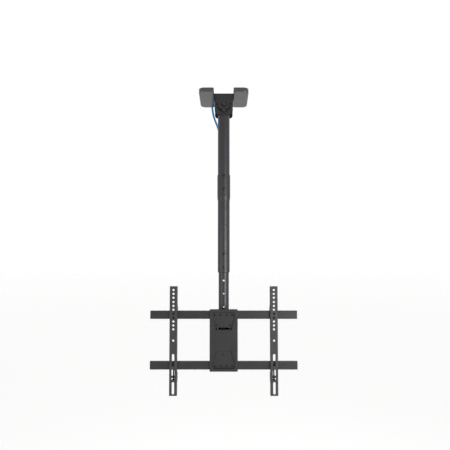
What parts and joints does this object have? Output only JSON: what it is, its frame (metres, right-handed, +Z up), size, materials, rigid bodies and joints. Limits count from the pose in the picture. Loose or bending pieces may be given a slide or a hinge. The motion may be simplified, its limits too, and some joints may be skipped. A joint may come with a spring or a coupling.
{
  "type": "tv ceiling mount",
  "caption": "Black telescopic ceiling mount for a flat screen: hinged ceiling bracket with covers, tubes, tilting head with rails and slotted arms, cable inside.",
  "frame": {"origin": "middle of the ceiling plate's top face, on the poles' axis", "axes": "+Z up to the ceiling, -Y to the screen side, +X to the right as seen from the screen side"},
  "size_m": [0.588, 0.1993, 1.2382],
  "materials": {
    "steel": "fine matt powder coat",
    "cover": "fine spark texture",
    "fastener": "black zinc, half gloss",
    "sleeve": "bright zinc",
    "bush": "smooth",
    "cable": "soft jacket",
    "plug": "moulded"
  },
  "bodies": {
    "ceiling": {"ceiling_plate": "steel", "left_cover": "cover", "right_cover": "cover", "pivot_bolt": "fastener", "pivot_nut": "fastener", "pivot_washers": "bush"},
    "pole": {"upper_tube": "steel", "pivot_sleeve": "sleeve", "lock_sleeve": "sleeve", "lock_bolt": "fastener", "lock_nut": "fastener", "lock_washers": "bush", "middle_tube": "steel", "coupling_screws": "fastener", "coupling_nuts": "fastener", "guide_bush": "bush", "height_screws": "fastener", "cable": "cable", "cable_plug": "plug"},
    "drop": {"drop_tube": "steel", "glide_ring": "bush", "tilt_yoke": "steel", "yoke_bolts": "fastener", "yoke_nuts": "fastener", "tilt_bolt": "fastener", "tilt_lock_bolt": "fastener", "tilt_nuts": "fastener", "tilt_washers": "fastener", "tilt_sleeves": "sleeve", "friction_washers": "bush"},
    "head": {"head_plate": "steel", "tilt_bracket": "steel", "upper_rail": "steel", "lower_rail": "steel", "rail_screws": "fastener", "rail_nuts": "fastener", "bracket_screws": "fastener", "bracket_nuts": "fastener"},
    "left_arm": {"left_arm": "steel", "left_lock_block": "fastener", "left_lock_screw": "fastener"},
    "right_arm": {"right_arm": "steel", "right_lock_block": "fastener", "right_lock_screw": "fastener"}
  },
  "joints": [
    {"name": "ceiling_tilt", "type": "hinge", "parent": "ceiling", "child": "pole", "pos_m": [0, 0, -0.0467], "axis": [0, 1, 0], "range_deg": [-60, 60], "deforming": ["cable"]},
    {"name": "height_slide", "type": "slide", "parent": "pole", "child": "drop", "axis": [0, 0, 1], "range_m": [-0.11, 0.11]},
    {"name": "head_tilt", "type": "hinge", "parent": "drop", "child": "head", "pos_m": [0, -0.036, -1.0192], "axis": [1, 0, 0], "range_deg": [-5, 15]},
    {"name": "left_arm_slide", "type": "slide", "parent": "head", "child": "left_arm", "axis": [1, 0, 0], "range_m": [-0.075, 0.12]},
    {"name": "right_arm_slide", "type": "slide", "parent": "head", "child": "right_arm", "axis": [1, 0, 0], "range_m": [-0.12, 0.075]}
  ]
}
